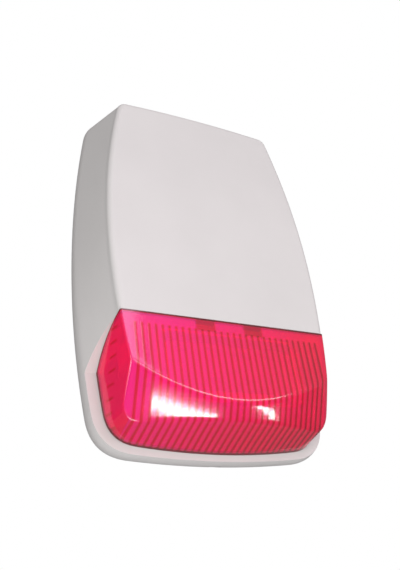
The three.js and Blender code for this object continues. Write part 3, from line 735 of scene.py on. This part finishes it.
# Base
# The wall half of the case, moulded in the same white ABS: a flat back with four screw holes
# and a cable hole, a low wall, two pairs of hinge ears, and posts for everything it carries.
wall_holes = ((-62, 112), (62, 112), (-70, -112), (70, -112))
horn_z = 74
horn_ears = [(50 * cos(radians(a)), horn_z + 50 * sin(radians(a))) for a in (90, 210, 330)]
strap_z, strap_posts = -22, (-85, 25)
strobe_z, strobe_posts = -90, (-40, 40)
cable_x, cable_z = 62, -88
tamper_x, tamper_z = -76, 44
board_holes = [(58 + sx * 24, -12 + sz * 33) for sx in (-1, 1) for sz in (-1, 1)]


def make_base():
    shell = [outline(rim, 8.3, 0), outline(rim, 7.7, -0.3), outline(rim, 7.5, -0.9),
             outline(rim, 7.5, -11.6), outline(rim, 7.9, -12)]
    tray = [outline(rim, 10, -13), outline(rim, 10, -4.2), outline(rim, 10.6, -3.2),
            outline(rim, 11.4, -3)]
    base = carve(lofted("base_moulding", shell), lofted("tray", tray))
    carve(base, block("top_cut", (-110, -60, 120), (110, -3, 155), None, 0))
    carve(base, block("edge_cut", (-110, -60, 137), (110, 5, 155), None, 0))
    for side in (-1, 1):
        carve(base, block("corner_cut", (side * 69.6, -60, 133), (side * 110, 5, 155), None, 0))
    for x in hinge_places:
        for start in (x - 8, x + 5):
            ear = [(-15.6, 140.5), (-14.8, 142.9), (-13, 143.6), (-11.2, 142.7), (-2.5, 135.5),
                   (-2.5, 126), (-9, 126)]
            carve(base, profile_bar("hinge_ear", ear, start, start + 3), "UNION")
            carve(base, cylinder("eye", 1.28, (start - 1, hinge_y, hinge_z),
                                 (start + 4, hinge_y, hinge_z)))
    # Stiffening ribs on the plate, kept low and clear of everything that stands on it.
    for x in (-88, 30):
        carve(base, block("rib", (x - 0.7, -5.5, -60), (x + 0.7, -2.5, 28), None, 0), "UNION")
    posts = [(x, z, 3, -7.7) for x, z in board_holes] + [(x, z, 3.5, -42.7) for x, z in horn_ears]
    posts += [(x, strobe_z, 4, -27.7) for x in strobe_posts]
    posts += [(x, strap_z, 4, -12) for x in strap_posts]
    for x, z, radius, front in posts:
        carve(base, cylinder("post", radius, (x, -2.5, z), (x, front, z), 40), "UNION")
        flare = turned("flare", [(0, 0), (radius + 1.6, 0), (radius + 0.5, 1), (radius - 0.1, 3),
                                 (0, 3)], (x, -2.9, z), (0, -1, 0), None, 40)
        carve(base, flare, "UNION")
    carve(base, block("lip", (-6, -12, -142.5), (6, -2.5, -136.5), None, 0), "UNION")
    carve(base, block("lip_slot", (-2.5, -60, -146), (2.5, -5.5, -134), None, 0))
    for x, z in wall_holes:
        pad = turned("pad", [(0, 0), (7, 0), (6.6, 0.6), (0, 0.6)], (x, -2.9, z), (0, -1, 0),
                     None, 48)
        carve(base, pad, "UNION")
        carve(base, cylinder("wall_hole", 3.2, (x, -10, z), (x, 5, z), 40))
    carve(base, cylinder("cable_hole", 8, (cable_x, -10, cable_z), (cable_x, 5, cable_z), 64))
    return carve(base, cylinder("tamper_hole", 2.2, (tamper_x, -10, tamper_z),
                                (tamper_x, 5, tamper_z), 32))


base = make_base()
dress(base, white_abs, 32)
fit(base, "base", "white_abs", "rear_base")

pin_profile = [(0, 0), (0.9, 0), (1.2, 0.3), (1.2, 16.1), (0.9, 16.4), (0, 16.4)]
for x, node in zip(hinge_places, ("hinge_pin_left", "hinge_pin_right")):
    pin = turned(f"{node}_turned", pin_profile, (x - 8.2, hinge_y, hinge_z), (1, 0, 0), steel)
    fit(pin, "base", "steel", node)

# Cable grommet and wall tamper
# A soft black rubber grommet lines the cable hole. The wall tamper is a loose block that is
# screwed to the wall, and breaks a contact if the siren is prised off.
rubber = moulded("rubber", (0.012, 0.012, 0.012), (0.02, 0.02, 0.019), 0.75, 0.6)
grommet = turned(
    "grommet_ring",
    [(3.2, 1), (7.6, 1), (7.8, 1.3), (7.8, 3.2), (9.6, 3.2), (10, 3.6), (10, 4.8), (9.6, 5.2),
     (6.5, 7), (3.6, 7), (3.2, 6.6), (3.2, 1)],
    (cable_x, 0, cable_z), (0, -1, 0), rubber, 56)
fit(grommet, "base", "rubber", "cable_grommet")

wall_tamper = carve(block("wall_tamper_moulding", (-84, -9, 36), (-68, -3.3, 52), None, 0.8),
                    cylinder("hole", 2.2, (tamper_x, -20, tamper_z), (tamper_x, 5, tamper_z)))
dress(wall_tamper, white_abs)
fit(wall_tamper, "base", "white_abs", "wall_tamper_block")

# Spirit level
# A small acrylic vial of yellow-green liquid, glued on top of the base so that the siren can
# be hung straight.
vial = Finish("vial", IOR=1.47, Transmission_Weight=0.7, Roughness=0.06)
vial.set(Base_Color=vial.ramp(vial.noise(30, 2), (0.3, (0.55, 0.86, 0.12, 1)),
                              (0.7, (0.66, 0.93, 0.18, 1))))
level_y, level_z = -8, 132.5
level = carve(turned("level_tube", [(0, 0), (3.5, 0), (4, 0.5), (4, 25.5), (3.5, 26), (0, 26)],
                     (-13, level_y, level_z), (1, 0, 0), None, 40),
              block("level_foot", (-14, -8, 129.5), (14, -3.3, 135.5), None, 0.4), "UNION")
dress(level, vial)
fit(level, "base", "vial", "level_vial")
band_profile = [(4.02, 0), (4.12, 0), (4.12, 0.5), (4.02, 0.5), (4.02, 0)]
for i, x in enumerate((-4, 4)):
    band = turned(f"level_mark_{i + 1}", band_profile, (x - 0.25, level_y, level_z), (1, 0, 0),
                  rubber, 40)
    fit(band, "base", "rubber")

# Horn
# The sounder: a black ABS flare with a rolled lip on three arms, screwed to long posts, with
# its driver, a deep-drawn can with a moulded frame, behind the throat.
black_abs = moulded("black_abs", (0.018, 0.018, 0.02), (0.028, 0.028, 0.03), 0.42)
flare_line = [(9 * (44 / 9) ** (t ** 1.3), 20 + 26 * t) for t in [i / 22 for i in range(23)]]
bell_profile = [*flare_line, (45, 46.05), (45.8, 45.6), (46, 44.8)]
bell_profile += [(r + 2, h - 1.2) for r, h in reversed(flare_line[1:-1])] + [(11, 20), (9, 20)]
horn = turned("horn_bell", bell_profile, (0, 0, horn_z), (0, -1, 0), None, 96)
for x, z in horn_ears:
    reach = Vector((x, 0, z - horn_z)).normalized()
    arm = block("arm", (-3, -43, -3.2), (3, -40, 3.2), None, 0)
    arm.data.transform(Matrix.Translation((reach * 46.2 + Vector((0, 0, horn_z))) * mm))
    carve(horn, arm, "UNION")
    carve(horn, cylinder("ear", 4.5, (x, -43, z), (x, -40, z), 40), "UNION")
    carve(horn, cylinder("ear_hole", 1.8, (x, -50, z), (x, -38, z)))
dress(horn, black_abs, 40)
fit(horn, "base", "black_plastic", "horn")
driver = turned(
    "horn_driver_can",
    [(0, 5), (24.6, 5), (26, 6.2), (26, 13.6), (25.4, 14.4), (24, 15), (20, 15), (20, 18.6),
     (19, 19.7), (7.5, 19.7), (6.5, 17.5), (3, 16.4), (0, 16.2)],
    (0, 0, horn_z), (0, -1, 0), black_abs, 96, 30)
fit(driver, "base", "black_plastic", "horn_driver")
for i, (x, z) in enumerate(horn_ears):
    fit(screw(f"horn_screw_{i + 1}_turned", x, z, -43, 1.5, 2.9), "base", "steel",
        f"horn_screw_{i + 1}")

# Battery
# A sealed lead-acid battery in a dark grey ABS case with a welded lid and two spade tabs. A
# bent steel strap holds it down on two posts.
battery_case = moulded("battery_case", (0.035, 0.037, 0.042), (0.05, 0.052, 0.058), 0.5)
battery = block("battery_case", (-78.5, -46.3, -48), (18.5, -3.3, -4.5), None, 1.2)
carve(battery, block("lid", (-78.3, -46.1, -4), (18.3, -3.5, 4), None, 1), "UNION")
carve(battery, block("weld", (-77.9, -45.7, -6), (17.9, -3.9, -2), None, 0), "UNION")
for x in (-66, 6):
    carve(battery, block("tab_well", (x - 5, -41.5, 2.8), (x + 5, -29, 6), None, 0))
dress(battery, battery_case)
fit(battery, "base", "black_plastic", "battery")
for name, x in (("battery_tab_left", -66), ("battery_tab_right", 6)):
    tab = block(name, (x - 0.4, -38.3, 2.5), (x + 0.4, -32.3, 10), steel, 0.15, 2)
    fit(tab, "base", "steel")
for i, x in enumerate(strap_posts):
    fit(screw(f"bracket_screw_{i + 1}_turned", x, strap_z, -13.5, 1.8, 1.1), "base", "steel",
        f"bracket_screw_{i + 1}")


def dress_cad(node, finish):
    """Gives a CAD node that is shown as it is its finish."""
    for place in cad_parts[node].material_slots:
        place.material = finish.material
    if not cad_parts[node].material_slots:
        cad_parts[node].data.materials.append(finish.material)


dress_cad("battery_bracket", steel)

# Main board
# A glass-fibre circuit board with green solder resist over copper tracks, on four posts. It
# carries the terminals, a relay, a controller, two capacitors and the plug for the leads.
board_green = Finish("board_green", Coat_Weight=0.4, Coat_Roughness=0.1)
sideways = board_green.node("ShaderNodeTexWave", "Fac", {"bands_direction": "X"},
                            Vector=board_green.place, Scale=95, Distortion=0)
upward = board_green.node("ShaderNodeTexWave", "Fac", {"bands_direction": "Z"},
                          Vector=board_green.place, Scale=95, Distortion=0)
patch = board_green.node("ShaderNodeTexVoronoi", "Color", {}, Vector=board_green.place, Scale=70)
side_of = board_green.node("ShaderNodeSeparateColor", "Red", {}, patch)
tracks = ((sideways > 0.72) * (side_of > 0.5)) + ((upward > 0.72) * (1 - (side_of > 0.5)))
board_green.set(
    Base_Color=board_green.ramp(tracks * 0.8, (0.1, (0.012, 0.085, 0.035, 1)),
                                (0.7, (0.04, 0.2, 0.08, 1))),
    Roughness=board_green.noise(400, 2) * 0.1 + 0.3,
)
board_green.bump(tracks, 0.5, 0.00005)
dress_cad("main_board", board_green)
board_face = -9.6
grey_nylon = moulded("grey_nylon", (0.3, 0.31, 0.32), (0.36, 0.37, 0.38), 0.55)
terminals = block("terminal_block_moulding", (38, board_face - 10, -44.5),
                  (78, board_face - 0.1, -35.5), None, 0.5)
terminal_places = [40.5 + i * 5 for i in range(8)]
for x in terminal_places:
    carve(terminals, cylinder("screw_well", 1.9, (x, board_face - 12, -40),
                              (x, board_face - 8.6, -40), 24))
    carve(terminals, block("wire_mouth", (x - 1.6, board_face - 6, -45),
                           (x + 1.6, board_face - 2, -42), None, 0))
dress(terminals, grey_nylon)
fit(terminals, "base", "grey_plastic", "terminal_block")
for i, x in enumerate(terminal_places):
    clamp = turned("clamp", [(0, 0), (1.7, 0), (1.7, 1), (1.4, 1.2), (0, 1.2)],
                   (x, board_face - 8.4, -40), (0, -1, 0), None, 20)
    carve(clamp, block("slot", (x - 2, board_face - 10, -40.25), (x + 2, board_face - 9.1, -39.75),
                       None, 0))
    clamp.name = f"terminal_screw_{i + 1}"
    dress(clamp, steel)
    fit(clamp, "base", "steel")
fit(block("relay_case", (35, board_face - 15, -12), (51, board_face - 0.1, 0), black_abs, 0.6),
    "base", "black_plastic", "relay")
fit(block("control_chip_case", (60, board_face - 3, -16), (68, board_face - 0.3, 0), black_abs,
          0.3), "base", "black_plastic", "control_chip")
for row, x in enumerate((59.2, 68.8)):
    for i in range(6):
        z = -14.5 + 2.6 * i
        leg = block(f"chip_leg_{row * 6 + i + 1}", (x - 0.8, board_face - 1.4, z - 0.3),
                    (x + 0.8, board_face - 0.05, z + 0.3), steel, 0.12, 2)
        fit(leg, "base", "steel")
sleeve = Finish("capacitor_sleeve", Coat_Weight=0.5, Roughness=0.3)
stripe = sleeve.axis("X") > 0.0812
sleeve.set(Base_Color=sleeve.ramp(stripe * 0.9 + sleeve.noise(50) * 0.1,
                                  (0.2, (0.02, 0.05, 0.16, 1)), (0.8, (0.45, 0.48, 0.52, 1))))
for i, z in enumerate((0, -16)):
    can = turned(f"capacitor_{i + 1}_can",
                 [(0, 0.1), (4.7, 0.1), (5, 0.5), (5, 1.4), (4.75, 1.8), (5, 2.2), (5, 12.4),
                  (4.5, 13), (3.9, 13), (3.8, 12.8), (0, 12.8)],
                 (78, board_face, z), (0, -1, 0), sleeve, 40)
    fit(can, "base", "capacitor_blue", f"capacitor_{i + 1}")
small_parts = ((45, -24), (51, -24), (57, -26), (64, -26), (70, -27), (72, 6), (66, 8), (60, 8),
               (54, 6), (36, -20), (36, 6), (44, 6))
for i, (x, z) in enumerate(small_parts):
    fit(block(f"small_part_{i + 1}", (x - 1.2, board_face - 1, z - 0.7),
              (x + 1.2, board_face - 0.05, z + 0.7), black_abs if i % 3 else grey_nylon, 0.15, 2),
        "base", "black_plastic")
for i, (x, z) in enumerate(board_holes):
    fit(screw(f"board_screw_{i + 1}_turned", x, z, board_face, 1.4, 1.2), "base", "steel",
        f"board_screw_{i + 1}")
dress_cad("jumper_block", black_abs)
dress_cad("lead_socket", white_abs)

# Strobe
# A metallised tray behind the lens, screwed to two posts of the base. It holds a white board
# with eight clear epoxy lamps in two rows.
reflector = Finish("silver_reflector", Metallic=0.9)
reflector.set(
    Base_Color=reflector.ramp(reflector.noise(25, 2), (0.3, (0.80, 0.81, 0.83, 1)),
                              (0.7, (0.9, 0.9, 0.91, 1))),
    Roughness=reflector.noise(70, 3) * 0.1 + 0.2,
)
reflector.bump(reflector.noise(300, 2), 0.15, 0.0001)


def rounded_tray(name, half_x, half_z, radius, back, front):
    """A block with round upright corners; one inside another makes the tray."""
    bm = bmesh.new()
    bmesh.ops.create_cube(bm, size=1)
    place = Matrix.Translation(Vector((0, (back + front) / 2, strobe_z)) * mm)
    size = Matrix.Diagonal((2 * half_x * mm, abs(front - back) * mm, 2 * half_z * mm, 1))
    bmesh.ops.transform(bm, verts=bm.verts, matrix=place @ size)
    upright = [e for e in bm.edges if abs(e.verts[0].co.y - e.verts[1].co.y) > 0.001]
    bmesh.ops.bevel(bm, geom=upright, offset=radius * mm, offset_type="OFFSET", segments=10,
                    profile=0.5, affect="EDGES", material=-1)
    return to_object(name, bm)


strobe_tray = carve(rounded_tray("strobe_tray", 58, 25, 9, -28, -44),
                    rounded_tray("hollow", 56, 23, 7, -30.5, -46))
for x in strobe_posts:
    carve(strobe_tray, cylinder("hole", 1.8, (x, -34, strobe_z), (x, -25, strobe_z)))
dress(strobe_tray, reflector)
fit(strobe_tray, "base", "silver_reflector", "strobe_housing")
dress_cad("strobe_board", white_abs)
lamp_epoxy = Finish("led_epoxy", IOR=1.53, Transmission_Weight=0.8, Roughness=0.05)
lamp_epoxy.set(Base_Color=lamp_epoxy.ramp(lamp_epoxy.noise(200), (0.3, (0.95, 0.9, 0.6, 1)),
                                          (0.7, (1, 0.96, 0.75, 1))))
dome = [(2.5 * cos(t), 5 + 2.5 * sin(t)) for t in [pi / 2 * i / 8 for i in range(9)]]
for i in range(8):
    x, z = (i % 4 - 1.5) * 24, strobe_z + (-11 if i < 4 else 11)
    lamp = turned(f"led_{i + 1}_dome", [(0, 0), (2.9, 0), (2.9, 1), (2.5, 1), *dome[:-1], (0, 7.5)],
                  (x, -32.5, z), (0, -1, 0), lamp_epoxy, 28)
    fit(lamp, "base", "led_clear", f"led_{i + 1}")
for i, x in enumerate(strobe_posts):
    fit(screw(f"strobe_screw_{i + 1}_turned", x, strobe_z, -32.4, 1.5, 3.8), "base", "steel",
        f"strobe_screw_{i + 1}")

# Leads and tamper switch
# PVC-covered leads join the battery, horn and strobe to the board. A small switch with a
# sprung steel lever feels a post inside the cover.
lead_finishes = {}
for name, dark, light in (("lead_red", (0.35, 0.01, 0.01), (0.45, 0.015, 0.015)),
                          ("lead_black", (0.012, 0.012, 0.012), (0.02, 0.02, 0.02))):
    lead_finishes[name] = moulded(name, dark, light, 0.35, 0.1, Coat_Weight=0.2)
for node, name in (("battery_lead_red", "lead_red"), ("battery_lead_black", "lead_black"),
                   ("horn_lead", "lead_black"), ("strobe_lead", "lead_red")):
    dress_cad(node, lead_finishes[name])
dress_cad("tamper_switch", black_abs)
dress_cad("tamper_lever", steel)
